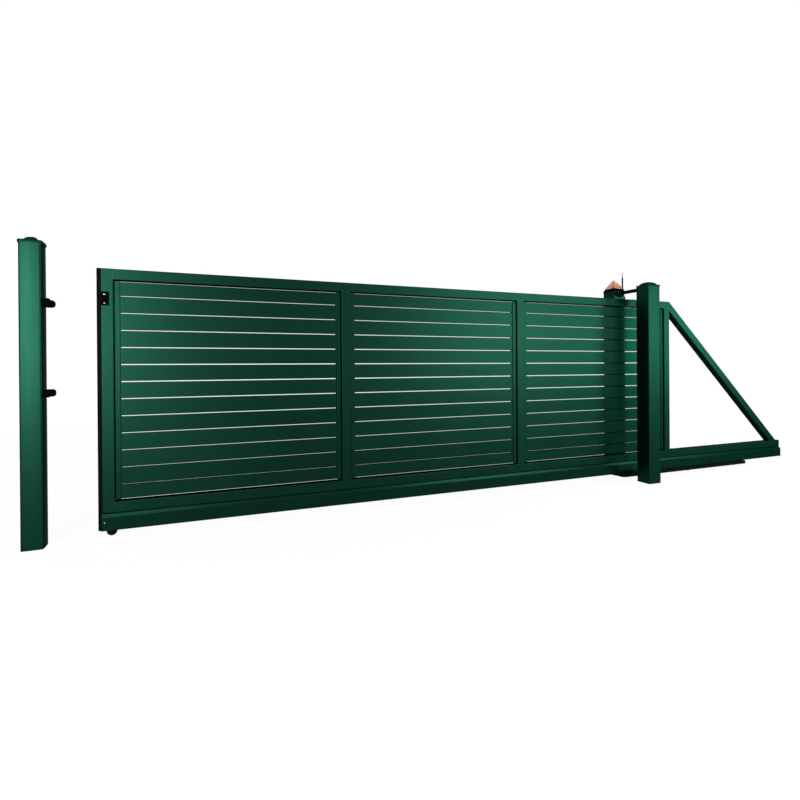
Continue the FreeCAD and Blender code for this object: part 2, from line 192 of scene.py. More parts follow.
def green_coat(name, grazing, rough=SATIN, slat_foot=None, slat_pitch=1.0):
    """Moss green powder coat: orange peel, faint runs and drift of tone and gloss, and a coat that
    is thinner on the edges. Downward faces get a painted shade that darkens their colour, and level
    faces have their grazing reflection tint cut to black, a painted darkening of their reflection.
    Slats that were coated one by one each get a tone of their own."""
    made, tree = new_material(name)
    place = node(tree, "TexCoord").outputs["Object"]
    drift = node(tree, "TexNoise", {"Vector": place, "Scale": 2.3, "Detail": 5.0, "Roughness": 0.6})
    run_place = node(tree, "Mapping", {"Vector": place, "Scale": (38.0, 38.0, 1.6)})
    runs = node(tree, "TexNoise", {"Vector": run_place.outputs[0], "Scale": 1.0, "Detail": 3.0})
    peel = node(tree, "TexNoise", {"Vector": place, "Scale": 420.0, "Detail": 2.0, "Roughness": 0.5})
    edge = worn_edge(tree, 0.0025, 0.995, 0.85)
    true_normal = node(tree, "NewGeometry").outputs["Normal"]
    facing = node(tree, "SeparateXYZ", {0: true_normal}).outputs["Z"]
    # Painted shade: downward faces have their colour darkened to three tenths, and level faces have their
    # grazing reflection tint set to black, which darkens their reflection.
    under = node(tree, "MapRange", {"Value": facing, "From Min": -0.6, "From Max": -0.9})
    upward = node(tree, "Math", {0: facing}, operation="ABSOLUTE")
    flat = node(tree, "MapRange", {"Value": upward.outputs[0], "From Min": 0.80, "From Max": 0.95})
    shaded_level_tint = node(tree, "MixRGB", {"Fac": flat.outputs[0], "Color1": (*grazing, 1), "Color2": (0, 0, 0, 1)})
    shift = drift.outputs["Fac"]
    if slat_foot is not None:
        height = node(tree, "SeparateXYZ", {0: place}).outputs["Z"]
        above = node(tree, "Math", {0: height, 1: slat_foot}, operation="SUBTRACT")
        share = node(tree, "Math", {0: above.outputs[0], 1: slat_pitch}, operation="DIVIDE")
        number = node(tree, "Math", {0: share.outputs[0]}, operation="FLOOR")
        own = node(tree, "TexWhiteNoise", {"W": number.outputs[0]}, noise_dimensions="1D")
        mixed = node(tree, "Math", {0: own.outputs["Value"], 1: 0.7, 2: shift}, operation="MULTIPLY_ADD")
        spread = node(tree, "MapRange", {"Value": mixed.outputs[0], "From Min": 0.3, "From Max": 1.4})
        shift = spread.outputs[0]
    tone = node(tree, "MixRGB", {"Fac": shift, "Color1": moss_green(0.92), "Color2": moss_green(1.10)})
    worn = node(tree, "MixRGB", {"Fac": edge, "Color1": tone.outputs[0], "Color2": MOSS_GREEN_THIN})
    shaded_under = node(tree, "MixRGB", {"Fac": under.outputs[0], "Color1": worn.outputs[0],
                                "Color2": moss_green(0.3)})
    sheen = node(tree, "Math", {0: drift.outputs["Fac"], 1: runs.outputs["Fac"]}, operation="ADD")
    gloss = node(tree, "MapRange", {"Value": sheen.outputs[0], "From Min": 0.6, "From Max": 1.4,
                                    "To Min": rough - 0.03, "To Max": rough + 0.03})
    bump = node(tree, "Bump", {"Height": peel.outputs["Fac"], "Strength": 0.12, "Distance": 0.0004})
    coat = node(tree, "BsdfPrincipled", {"Base Color": shaded_under.outputs[0], "Roughness": gloss.outputs[0],
                                         "Normal": bump.outputs[0], "Metallic": 0.92,
                                         "Specular IOR Level": 0.0, "Specular Tint": shaded_level_tint.outputs[0]})
    node(tree, "OutputMaterial", {"Surface": coat.outputs[0]})
    return made


def finish_node(name, made):
    """Gives a piece of the frame its finish."""
    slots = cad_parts[name].data.materials
    if len(slots) == 0:
        slots.append(made)
    for place in range(len(slots)):
        slots[place] = made


def squared_ring(x, y, z, half, radius, steps=6):
    """A level ring round a square with rounded corners."""
    ring = []
    for quarter in range(4):
        middle = math.radians(45 + 90 * quarter)
        reach = (half - radius) * math.sqrt(2)
        corner = Vector((x + reach * math.cos(middle), y + reach * math.sin(middle), z))
        for step in range(steps + 1):
            angle = middle + math.radians(90 * step / steps - 45)
            ring.append(corner + radius * Vector((math.cos(angle), math.sin(angle), 0)))
    return ring


def skin_rings(shape, rings, closed=False, finish=0):
    """Joins rings of points into a skin, capped at both ends, or closed round on itself."""
    rows = [[shape.verts.new(point) for point in ring] for ring in rings]
    count = len(rows[0])
    pairs = list(zip(rows, rows[1:]))
    if closed:
        pairs.append((rows[-1], rows[0]))
    faces = []
    for lower, upper in pairs:
        for here in range(count):
            after = (here + 1) % count
            faces.append(shape.faces.new((lower[here], lower[after], upper[after], upper[here])))
    if not closed:
        faces.append(shape.faces.new(rows[0][::-1]))
        faces.append(shape.faces.new(rows[-1]))
    for face in faces:
        face.material_index = finish


def show_piece(name, shape, finishes, body, replaced=()):
    """Turns a finished shape into a piece that moves with a body and stands for the solids it replaces."""
    bmesh.ops.recalc_face_normals(shape, faces=shape.faces)
    mesh = bpy.data.meshes.new(name)
    shape.to_mesh(mesh)
    shape.free()
    mesh.shade_smooth()
    mesh.set_sharp_from_angle(angle=math.radians(32))
    for finish in finishes:
        mesh.materials.append(finish)
    piece = bpy.data.objects.new(name, mesh)
    scene.collection.objects.link(piece)
    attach(piece, body)
    if replaced:
        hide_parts(*replaced)


def rolled_ring(x, y, z, half, radius, crown, steps=10, rows=8):
    """The outline of a rolled tube: round corners, and sides that stand a little proud in the middle."""
    corners = squared_ring(x, y, z, half - crown, radius, steps)
    ring = []
    for quarter in range(4):
        after = (quarter + 1) * (steps + 1)
        ring += corners[quarter * (steps + 1):after]
        start, end = corners[after - 1], corners[after % len(corners)]
        angle = math.radians(90 + 90 * quarter)
        out = Vector((math.cos(angle), math.sin(angle), 0))
        for row in range(1, rows):
            share = row / rows
            ring.append(start.lerp(end, share) + crown * (1 - (2 * share - 1) ** 2) * out)
    return ring


green_paint = green_coat("green_powder_coat", (0.42, 0.42, 0.42))
for post in ("front_guide_post", "rear_guide_post"):
    finish_node(post, green_paint)
catch_post_paint = green_coat("green_catch_post_coat", (0.30, 0.36, 0.34))
low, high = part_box("catch_post")
x, y = (low[0] + high[0]) / 2, (low[1] + high[1]) / 2
half = (high[0] - low[0]) / 2
shape = bmesh.new()
skin_rings(shape, [rolled_ring(x, y, z, half, CATCH_POST_RADIUS, CATCH_POST_CROWN)
                   for z in (low[2], high[2])])
show_piece("rolled_catch_post", shape, [catch_post_paint], "portal", ["catch_post"])

# The caps of the catch post and the front guide post: pressed steel, domed in two soft slopes,
# with a short skirt that slips over the tube, and coated with the post.
CAP_OVERHANG = 0.003
CAP_SKIRT = 0.008
CAP_SHORT_SKIRT = 0.0008
CAP_LIP = 0.0004
CAP_FIT = 0.0001
CAP_RIM = 0.0080
CAP_CORNER = 0.004
CAP_PROFILE = ((0, 0.0062), (0.0006, 0.0074), (0.0020, CAP_RIM), (0.0118, 0.0082), (0.0134, 0.0092),
               (0.0158, 0.0122), (0.0196, 0.0168), (0.0242, 0.0220), (0.0270, 0.0243), (0.0320, 0.0272),
               (0.0380, 0.0299), (0.0430, 0.0314), (0.0465, 0.0320))


def post_cap(name, replaced, post, edge_radius, dome_in, bar_side):
    """A domed cap over a post; its skirt is cut short on the side where the guide bar is fixed."""
    low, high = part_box(post)
    x, y, top = (low[0] + high[0]) / 2, (low[1] + high[1]) / 2, high[2]
    half = (high[0] - low[0]) / 2
    outer, outer_radius = half + CAP_OVERHANG, edge_radius + CAP_OVERHANG
    rings = [squared_ring(x, y, top + CAP_FIT, half + CAP_FIT, edge_radius),
             squared_ring(x, y, top - CAP_SKIRT, half + CAP_FIT, edge_radius),
             squared_ring(x, y, top - CAP_SKIRT, outer - CAP_LIP, outer_radius),
             squared_ring(x, y, top - CAP_SKIRT + CAP_LIP, outer, outer_radius)]
    for inset, rise in CAP_PROFILE:
        corner = max(CAP_CORNER, outer_radius - 0.2 * inset)
        reach = outer - inset - (dome_in if rise > CAP_RIM else 0)
        rings.append(squared_ring(x, y, top + rise, reach, min(corner, reach - 0.001)))
    if bar_side:
        for ring in rings[1:4]:
            for point in ring:
                if point.y > y + half - edge_radius:
                    point.z = top - CAP_SHORT_SKIRT
    shape = bmesh.new()
    skin_rings(shape, rings)
    show_piece(name, shape, [green_paint], "portal", [replaced])


post_cap("domed_catch_post_cap", "catch_post_cap", "catch_post", CATCH_POST_RADIUS, dome_in=0.005,
         bar_side=False)
post_cap("domed_guide_post_cap", "front_guide_post_cap", "front_guide_post", GUIDE_POST_RADIUS, dome_in=0.0,
         bar_side=True)

# The rear guide post's cap: moulded black plastic with bevelled sides and a boss for the antenna.
# It is pushed into the tube and carries the signal lamp.
low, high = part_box("rear_guide_post_cap")
LAMP_X, LAMP_Y = (low[0] + high[0]) / 2, (low[1] + high[1]) / 2
LAMP_CAP_HALF = (high[0] - low[0]) / 2
LAMP_CAP_CORNER = 0.006
LAMP_CAP_PROFILE = ((0.0008, 0), (0, 0.0008), (0, 0.0052), (0.0005, 0.0064), (0.0085, 0.0246),
                    (0.0092, 0.0257), (0.0106, 0.0280))
ANTENNA_OUT = 0.047
ANTENNA_X, ANTENNA_Y = LAMP_X + ANTENNA_OUT, LAMP_Y - ANTENNA_OUT
BOSS_RADIUS = 0.008
BOSS_FOOT_RADIUS = 0.010
UPWARDS = (0, 0, 1)
BLACK_PLASTIC = 0.0035


def black_plastic(name, shade=BLACK_PLASTIC, rough=0.46, warm=1.0):
    """Moulded plastic or rubber: fine spark grain, a little dust in the grain and paler rubbed edges."""
    made, tree = new_material(name)

    def tone(share):
        return (share * shade * warm, share * shade, share * shade / warm, 1)

    place = node(tree, "TexCoord").outputs["Object"]
    grain = node(tree, "TexNoise", {"Vector": place, "Scale": 900.0, "Detail": 3.0}).outputs["Fac"]
    dust = node(tree, "TexNoise", {"Vector": place, "Scale": 26.0, "Detail": 6.0, "Roughness": 0.65})
    edge = worn_edge(tree, 0.0012, 0.99, 0.80)
    body = node(tree, "MixRGB", {"Fac": dust.outputs["Fac"], "Color1": tone(0.75), "Color2": tone(1.25)})
    rubbed = node(tree, "MixRGB", {"Fac": edge, "Color1": body.outputs[0], "Color2": tone(2.2)})
    gloss = node(tree, "MapRange", {"Value": grain, "To Min": rough - 0.06, "To Max": rough + 0.06})
    bump = node(tree, "Bump", {"Height": grain, "Strength": 0.2, "Distance": 0.0003})
    coat = node(tree, "BsdfPrincipled", {"Base Color": rubbed.outputs[0], "Roughness": gloss.outputs[0],
                                         "Normal": bump.outputs[0], "Specular IOR Level": 0.0})
    node(tree, "OutputMaterial", {"Surface": coat.outputs[0]})
    return made


def round_point(foot, axis, along, radius, angle):
    """A point beside an axis: so far along it from the foot, so far out, and at an angle round it."""
    axis = Vector(axis)
    side = axis.orthogonal().normalized()
    out = math.cos(angle) * side + math.sin(angle) * axis.cross(side)
    return Vector(foot) + along * axis + radius * out


def turned(shape, profile, foot, axis, steps=40, closed=False, finish=0):
    """A turned form: the profile gives radii and distances along the axis from the foot."""
    angles = [math.tau * step / steps for step in range(steps)]
    rings = [[round_point(foot, axis, along, radius, angle) for angle in angles] for radius, along in profile]
    skin_rings(shape, rings, closed, finish)


cap_plastic = black_plastic("black_cap_plastic")
rings = []
for inset, rise in LAMP_CAP_PROFILE:
    corner = LAMP_CAP_CORNER - 0.25 * inset
    rings.append(squared_ring(LAMP_X, LAMP_Y, low[2] + rise, LAMP_CAP_HALF - inset, corner))
shape = bmesh.new()
skin_rings(shape, rings)
boss = ((BOSS_FOOT_RADIUS, 0), (BOSS_FOOT_RADIUS, 0.010), (BOSS_RADIUS, 0.0135), (BOSS_RADIUS, 0.0300),
        (BOSS_RADIUS - 0.0008, 0.0310))
turned(shape, boss, (ANTENNA_X, ANTENNA_Y, low[2]), UPWARDS)
show_piece("bevelled_lamp_cap", shape, [cap_plastic], "portal", ["rear_guide_post_cap"])

# The signal lamp: a four-sided lens of orange plastic with fine level ribs, seated on the black cap.
# One corner is cut back to clear the antenna.
low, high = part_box("signal_lamp")
LENS_FOOT, LENS_TIP = low[2], high[2]
LENS_HALF = (high[0] - low[0]) / 2
LENS_TIP_HALF = 0.005
LENS_CUT = 0.0790
LENS_BAND = 0.005
LENS_RIBS = 13
RIBS_FROM, RIBS_TO = LENS_FOOT + 0.0066, LENS_TIP - 0.0030
RIB_ROUND = 0.0008
RIB_GROOVE = 0.0006
RIB_STEP = 0.0002
LENS_ORANGE = (0.60, 0.31, 0.22, 1)
LENS_ORANGE_DEEP = (0.25, 0.085, 0.048, 1)
PALE_FROM, DEEP_FROM = LAMP_Y - 0.005, LAMP_Y - 0.042


def lens_ring(z, half):
    """A square ring, cut across at the corner that the antenna stands in."""
    ring = squared_ring(LAMP_X, LAMP_Y, z, half, min(0.0022, 0.4 * half), 4)
    for point in ring:
        spare = (point.x - LAMP_X) - (point.y - LAMP_Y) - LENS_CUT
        if spare > 0:
            point.x -= spare / 2
            point.y += spare / 2
    return ring


lens, tree = new_material("orange_lens")
place = node(tree, "TexCoord").outputs["Object"]
cloud = node(tree, "TexNoise", {"Vector": place, "Scale": 35.0, "Detail": 3.0}).outputs["Fac"]
# The lens colour is painted deeper towards the street side and paler towards the back: painted shade and
# light across its facets.
depth = node(tree, "SeparateXYZ", {0: place}).outputs["Y"]
shade_towards_street = node(tree, "MapRange", {"Value": depth, "From Min": PALE_FROM, "From Max": DEEP_FROM})
both = node(tree, "Math", {0: cloud, 1: 0.4, 2: shade_towards_street.outputs[0]}, operation="MULTIPLY_ADD")
share = node(tree, "MapRange", {"Value": both.outputs[0], "From Min": 0.2, "From Max": 1.2})
tint = node(tree, "MixRGB", {"Fac": share.outputs[0], "Color1": LENS_ORANGE, "Color2": LENS_ORANGE_DEEP})
grain = node(tree, "MapRange", {"Value": cloud, "To Min": 0.16, "To Max": 0.28})
coat = node(tree, "BsdfPrincipled", {"Base Color": tint.outputs[0], "Roughness": grain.outputs[0],
                                     "Subsurface Weight": 0.15, "Subsurface Radius": (0.012, 0.004, 0.002),
                                     "Specular IOR Level": 0.15, "IOR": 1.49})
node(tree, "OutputMaterial", {"Surface": coat.outputs[0]})

foot_band = ((0, RIB_ROUND), (RIB_ROUND, 0), (0.0046, 0), (0.0056, RIB_ROUND))
rings = [lens_ring(LENS_FOOT + rise, LENS_HALF - inset) for rise, inset in foot_band]
rib_height = (RIBS_TO - RIBS_FROM) / LENS_RIBS
for rib in range(LENS_RIBS):
    start = RIBS_FROM + rib * rib_height
    end = start + rib_height
    for z, groove in ((start, RIB_GROOVE), (start + RIB_ROUND, 0), (end - RIB_ROUND, 0),
                      (end - RIB_STEP, RIB_GROOVE)):
        share = (z - LENS_FOOT - LENS_BAND) / (LENS_TIP - LENS_FOOT - LENS_BAND)
        rings.append(lens_ring(z, LENS_HALF + share * (LENS_TIP_HALF - LENS_HALF) - groove))
rings.append(lens_ring(LENS_TIP - 0.0010, LENS_TIP_HALF))
rings.append(lens_ring(LENS_TIP, LENS_TIP_HALF - 0.0014))
shape = bmesh.new()
skin_rings(shape, rings)
show_piece("ribbed_lamp_lens", shape, [lens], "portal", ["signal_lamp"])

# The antenna: a black rubber sleeve with grip rings at its foot, screwed to the cap's boss,
# and a thin steel whip with a ball end.
low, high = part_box("antenna")
SLEEVE_RADIUS = 0.0062
SLEEVE_TOP = 0.092
GRIP_RADIUS = 0.0054
GRIP_RINGS = 6
GRIP_FOOT, GRIP_PITCH, GRIP_TOP = 0.002, 0.0058, 0.0372
WHIP_RADIUS = 0.0025
BALL_RADIUS = 0.0035
BALL_MIDDLE = SLEEVE_TOP + 0.040
profile = [(0.0056, 0), (SLEEVE_RADIUS, 0.0006)]
for ring_number in range(GRIP_RINGS):
    ring_foot = GRIP_FOOT + GRIP_PITCH * ring_number
    profile += [(SLEEVE_RADIUS, ring_foot), (SLEEVE_RADIUS, ring_foot + 0.0034),
                (GRIP_RADIUS, ring_foot + 0.0040), (GRIP_RADIUS, ring_foot + 0.0052)]
profile += [(SLEEVE_RADIUS, GRIP_TOP), (0.0060, SLEEVE_TOP - 0.004), (0.0044, SLEEVE_TOP - 0.0008),
            (0.0030, SLEEVE_TOP), (WHIP_RADIUS, SLEEVE_TOP + 0.001),
            (WHIP_RADIUS - 0.0001, SLEEVE_TOP + 0.0368)]
for step in range(7):
    angle = math.radians(-58 + 24.5 * step)
    profile.append((BALL_RADIUS * math.cos(angle), BALL_MIDDLE + BALL_RADIUS * math.sin(angle)))
antenna_rubber = black_plastic("antenna_rubber", 0.0022, 0.5)
shape = bmesh.new()
turned(shape, profile, (ANTENNA_X, ANTENNA_Y, low[2]), UPWARDS, 28)
show_piece("ringed_antenna", shape, [antenna_rubber], "portal", ["antenna"])

# The catches: a pair of moulded black prongs on a plate, one pair above the other. Two socket screws
# hold each plate to the catch post, and the leaf's closing edge runs in between the prongs.
PRONG = 0.008
PRONG_BEVEL = 0.0011
TIP_RADIUS = 0.016
ROOT_RADIUS = 0.001
CATCH_PLATE = 0.004
CATCH_PLATE_BEVEL = 0.0006
CATCH_PLATE_IN, CATCH_PLATE_SHORT = 0.004, 0.0002
CATCH_SCREW_IN = 0.028
SOCKET_HALF, SOCKET_DEPTH = 0.0021, 0.0016
catch_plastic = black_plastic("black_catch_plastic", 0.002, 0.5)


def slab(shape, outline, foot, across, up, through, thickness, bevel, finish=0):
    """A flat piece with an outline of its own, rounded off along both rims."""
    count = len(outline)
    inner = []
    for here in range(count):
        before, after = Vector(outline[here - 1]), Vector(outline[(here + 1) % count])
        run = (after - before).normalized()
        inner.append(Vector(outline[here]) + bevel * Vector((-run.y, run.x)))
    across, up = Vector(across), Vector(up)
    rings = []
    for depth, form in ((0, inner), (bevel, outline), (thickness - bevel, outline), (thickness, inner)):
        start = Vector(foot) + depth * Vector(through)
        rings.append([start + u * across + v * up for u, v in form])
    skin_rings(shape, rings, False, finish)


def rounded_outline(u0, u1, v0, v1, radii, steps=6):
    """A rectangle's outline, anticlockwise, with its own radius at each corner."""
    outline = []
    corners = ((u1, v0, -90), (u1, v1, 0), (u0, v1, 90), (u0, v0, 180))
    for (u, v, start), radius in zip(corners, radii):
        middle = (u - radius if u == u1 else u + radius, v - radius if v == v1 else v + radius)
        for step in range(steps + 1):
            angle = math.radians(start + 90 * step / steps)
            outline.append((middle[0] + radius * math.cos(angle), middle[1] + radius * math.sin(angle)))
    return outline


def zinc_plate(name, shade):
    """Zinc-plated steel: bright, faintly mottled, with a brushed grain."""
    made, tree = new_material(name)
    place = node(tree, "TexCoord").outputs["Object"]
    mottle = node(tree, "TexVoronoi", {"Vector": place, "Scale": 180.0})
    cloud = node(tree, "TexNoise", {"Vector": place, "Scale": 60.0, "Detail": 4.0}).outputs["Fac"]
    tone = node(tree, "MixRGB", {"Fac": cloud, "Color1": (0.86 * shade, 0.87 * shade, 0.90 * shade, 1),
                                 "Color2": (shade, shade, shade, 1)})
    gloss = node(tree, "MapRange", {"Value": mottle.outputs["Distance"], "To Min": 0.26, "To Max": 0.42})
    bump = node(tree, "Bump", {"Height": cloud, "Strength": 0.1, "Distance": 0.0002})
    coat = node(tree, "BsdfPrincipled", {"Base Color": tone.outputs[0], "Roughness": gloss.outputs[0],
                                         "Normal": bump.outputs[0], "Metallic": 1.0})
    node(tree, "OutputMaterial", {"Surface": coat.outputs[0]})
    return made


def screw_head(shape, foot, axis, radius, rise, recess, steps=48, rows=16, finish=0):
    """A low domed screw head with a drive recess sunk in it."""
    angles = [math.tau * step / steps for step in range(steps)]
    rings = [[round_point(foot, axis, 0, radius, angle) for angle in angles]]
    for row in range(rows):
        out = radius * (1 - row / rows) ** 0.9
        dome = rise * (0.35 + 0.65 * math.sqrt(1 - (out / radius) ** 2))
        ring = []
        for angle in angles:
            sunk = recess(out * math.cos(angle), out * math.sin(angle))
            ring.append(round_point(foot, axis, dome - sunk, out, angle))
        rings.append(ring)
    skin_rings(shape, rings, False, finish)


def hex_socket(u, v):
    """How deep a hexagon socket is sunk at a point of a screw head."""
    reach = max(abs(u * math.cos(math.radians(a)) + v * math.sin(math.radians(a))) for a in (0, 60, 120))
    return SOCKET_DEPTH if reach < SOCKET_HALF else 0


catch_zinc = zinc_plate("catch_screw_zinc", 0.10)
for catch_name in ("upper_catch", "lower_catch"):
    low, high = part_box(catch_name)
    shape = bmesh.new()
    prong = rounded_outline(0, high[0] - low[0], 0, high[2] - low[2],
                            (TIP_RADIUS, TIP_RADIUS, ROOT_RADIUS, ROOT_RADIUS))
    for front in (low[1], high[1] - PRONG):
        slab(shape, prong, (low[0], front, low[2]), (1, 0, 0), UPWARDS, (0, 1, 0), PRONG, PRONG_BEVEL)
    back = rounded_outline(low[1] + CATCH_PLATE_IN, high[1] - CATCH_PLATE_IN, low[2] + CATCH_PLATE_SHORT,
                           high[2] - CATCH_PLATE_SHORT, (ROOT_RADIUS,) * 4, 2)
    slab(shape, back, (low[0], 0, 0), (0, 1, 0), UPWARDS, (1, 0, 0), CATCH_PLATE, CATCH_PLATE_BEVEL)
    for y in (low[1] + CATCH_SCREW_IN, high[1] - CATCH_SCREW_IN):
        seat = (low[0] + CATCH_PLATE - 0.0002, y, (low[2] + high[2]) / 2)
        screw_head(shape, seat, (1, 0, 0), 0.0055, 0.0026, hex_socket, 36, 12, 1)
    show_piece("moulded_" + catch_name, shape, [catch_plastic, catch_zinc], "portal",
               [catch_name])

# The guide bar: flat steel between the guide posts, welded to a half-round plate at each end,
# painted satin black. Two hexagon bolts hold each plate to its post.
END_PLATE = 0.006
BOLT_OUT = 0.030
BOLT_BELOW = 0.016
BOLT_FLATS, BOLT_HEAD = 0.0065, 0.0053
WASHER_PROFILE = ((0.0085, -0.0005), (0.0085, 0.0012), (0.0080, 0.0016), (0.0040, 0.0016))
WORN_BLACK = (0.012, 0.0117, 0.0114, 1)


def black_enamel(name, shade=0.0035):
    """Green-black paint on steel: brush-free, slightly uneven gloss, with thin paint on the edges."""
    made, tree = new_material(name)
    place = node(tree, "TexCoord").outputs["Object"]
    uneven = node(tree, "TexNoise", {"Vector": place, "Scale": 14.0, "Detail": 6.0, "Roughness": 0.6})
    cloud = uneven.outputs["Fac"]
    grit = node(tree, "TexNoise", {"Vector": place, "Scale": 500.0, "Detail": 2.0})
    edge = worn_edge(tree, 0.0015, 0.99, 0.80)
    rub = node(tree, "Math", {0: edge, 1: cloud}, operation="MULTIPLY")
    tone = node(tree, "MixRGB", {"Fac": cloud, "Color1": (0.8 * shade, 1.5 * shade, 1.2 * shade, 1),
                                 "Color2": (1.3 * shade, 2.3 * shade, 1.9 * shade, 1)})
    worn = node(tree, "MixRGB", {"Fac": rub.outputs[0], "Color1": tone.outputs[0], "Color2": WORN_BLACK})
    gloss = node(tree, "MapRange", {"Value": cloud, "To Min": 0.36, "To Max": 0.50})
    bump = node(tree, "Bump", {"Height": grit.outputs["Fac"], "Strength": 0.12, "Distance": 0.0003})
    coat = node(tree, "BsdfPrincipled", {"Base Color": worn.outputs[0], "Roughness": gloss.outputs[0],
                                         "Normal": bump.outputs[0], "Specular IOR Level": 0.0})
    node(tree, "OutputMaterial", {"Surface": coat.outputs[0]})
    return made


def hexagon_head(shape, foot, axis, flats, height, steps=36):
    """A hexagon head or nut with its corners turned off at the top."""
    rings = []
    for limit, rise in ((1.16, 0), (1.16, 0.72), (1.08, 0.88), (1.0, 1.0), (0.94, 1.0)):
        ring = []
        for step in range(steps):
            angle = math.tau * step / steps
            turn_in = (angle + math.pi / 6) % (math.pi / 3) - math.pi / 6
            out = min(flats / math.cos(turn_in), limit * flats)
            ring.append(round_point(foot, axis, rise * height, out, angle))
        rings.append(ring)
    skin_rings(shape, rings)


finish_node("guide_bar", black_enamel("guide_bar_paint"))
low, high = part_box("guide_bar")
bolt_paint = black_enamel("bolt_paint", 0.005)
bolt_z = high[2] - BOLT_BELOW
shape = bmesh.new()
for x in (-BOLT_OUT, BOLT_OUT):
    for y, way in ((low[1] + END_PLATE, 1), (high[1] - END_PLATE, -1)):
        turned(shape, WASHER_PROFILE, (x, y, bolt_z), (0, way, 0), 28)
        hexagon_head(shape, (x, y + way * 0.0014, bolt_z), (0, way, 0), BOLT_FLATS, BOLT_HEAD)
show_piece("guide_bar_bolts", shape, [bolt_paint], "portal")

# The guide rollers: black nylon rollers that steady the leaf's top rail from both sides. Each hangs on
# an upright bolt from an angle of painted steel, which two bolts hold to the side of its post.
ROLLER_NUT_FLATS, ROLLER_NUT = 0.0112, 0.0068
HANGER_STEEL = 0.006
LEG_MIDDLE = 0.025
LEG_BOLT_BELOW = 0.016
LEG_BOLT_OUT = 0.013
LEG_BOLT_HEAD = 0.0055
SEATED = 0.0003


def black_nylon(name):
    """Turned black nylon: a faint dust of wear over a fine grain."""
    made, tree = new_material(name)
    place = node(tree, "TexCoord").outputs["Object"]
    grain = node(tree, "TexNoise", {"Vector": place, "Scale": 650.0, "Detail": 2.0})
    wear = node(tree, "TexNoise", {"Vector": place, "Scale": 45.0, "Detail": 7.0, "Roughness": 0.7})
    scuff = wear.outputs["Fac"]
    tone = node(tree, "MixRGB", {"Fac": scuff, "Color1": (0.003, 0.003, 0.0031, 1),
                                 "Color2": (0.008, 0.0078, 0.0076, 1)})
    gloss = node(tree, "MapRange", {"Value": scuff, "To Min": 0.32, "To Max": 0.55})
    bump = node(tree, "Bump", {"Height": grain.outputs["Fac"], "Strength": 0.12, "Distance": 0.0002})
    coat = node(tree, "BsdfPrincipled", {"Base Color": tone.outputs[0], "Roughness": gloss.outputs[0],
                                         "Normal": bump.outputs[0], "Specular IOR Level": 0.002})
    node(tree, "OutputMaterial", {"Surface": coat.outputs[0]})
    return made


def wheel_profile(first_half, width):
    """A wheel's section from its bore out over one face to the tread, and back over the other face."""
    return [*first_half, *((radius, width - along) for radius, along in reversed(first_half))]


roller_nylon = black_nylon("roller_nylon")
hanger_paint = black_enamel("hanger_paint")
roller_zinc = zinc_plate("roller_bolt_zinc", 0.42)
for side_name in ("front", "rear"):
    low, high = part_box(side_name + "_guide_roller")
    x, y = (low[0] + high[0]) / 2, (low[1] + high[1]) / 2
    radius = (high[0] - low[0]) / 2
    face = ((0.0073, 0), (0.0110, 0), (0.0114, 0.0008), (0.0128, 0.0008), (0.0132, 0), (radius - 0.0022, 0),
            (radius - 0.0006, 0.0006), (radius, 0.0022))
    shape = bmesh.new()
    turned(shape, wheel_profile(face, high[2] - low[2]), (x, y, low[2]), UPWARDS, 48, True)
    show_piece(side_name + "_nylon_guide_roller", shape, [roller_nylon], "portal",
               [side_name + "_guide_roller"])
    finish_node(side_name + "_guide_hanger", hanger_paint)
    shape = bmesh.new()
    hexagon_head(shape, (x, y, low[2] - SEATED), (0, 0, -1), ROLLER_NUT_FLATS, ROLLER_NUT)
    low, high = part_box(side_name + "_guide_hanger")
    leg_x, leg_z = low[0] + HANGER_STEEL - SEATED, high[2] - LEG_BOLT_BELOW
    leg_y = low[1] + LEG_MIDDLE if side_name == "front" else high[1] - LEG_MIDDLE
    for y in (leg_y - LEG_BOLT_OUT, leg_y + LEG_BOLT_OUT):
        hexagon_head(shape, (leg_x, y, leg_z), (1, 0, 0), BOLT_FLATS, LEG_BOLT_HEAD)
    show_piece(side_name + "_guide_hanger_bolts", shape, [roller_zinc], "portal")

# The base: a flat steel bar with rounded ends under the leaf, between the guide posts, painted black.
# It stands on threaded studs near its back edge, each with a thin lock nut and a washer under the bar.
BASE_THICKNESS = 0.025
STUD_ROWS = 3
STUD_PITCH = 0.590
STUD_INSET = 0.060
STUD_EDGE = 0.030
LOCK_NUT_FLATS, LOCK_NUT = 0.0120, 0.0050
STUD_WASHER = ((0.0090, -0.0016), (0.0145, -0.0016), (0.0150, -0.0012), (0.0150, 0.0002), (0.0090, 0.0002))
base_paint = black_enamel("base_paint", 0.0034)
finish_node("base_channel", base_paint)
low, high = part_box("base_channel")
y, underside = high[1] - STUD_EDGE, high[2] - BASE_THICKNESS
shape = bmesh.new()
for row in reversed(range(STUD_ROWS)):
    x = high[0] - STUD_INSET - row * STUD_PITCH
    turned(shape, STUD_WASHER, (x, y, underside), UPWARDS, 32)
    hexagon_head(shape, (x, y, underside - 0.0014), (0, 0, -1), LOCK_NUT_FLATS, LOCK_NUT)
show_piece("base_lock_nuts", shape, [base_paint], "portal")

# The trolleys: two pairs of zinc-plated steel rollers on a stem that is bolted to the base. They stand
# inside the running rail and carry the leaf.
trolley_zinc = zinc_plate("trolley_zinc", 0.45)
for trolley in ("front_trolley", "rear_trolley"):
    finish_node(trolley, trolley_zinc)

# The leaf's frame: 60 mm square steel tubes, welded, with the welds ground flush before the leaf was
# powder coated. A slanted tube braces the tail.
FRAME_RADIUS = 0.004
WELD_PROUD = 0.00006
WELD_LAP = 0.0006
WELD_DEPTH = 1.15 * FRAME_RADIUS
WELD_BACKING = 0.0003
WELD_FIT = 0.00015
WELD_END = 0.0015
BRACE_HEAD_DROP = 0.0195
BRACE_FOOT_RUN = 0.088
for tube in ("closing_stile", "first_mullion", "second_mullion", "rear_stile", "top_rail", "bottom_rail",
             "tail_brace"):
    finish_node(tube, green_paint)


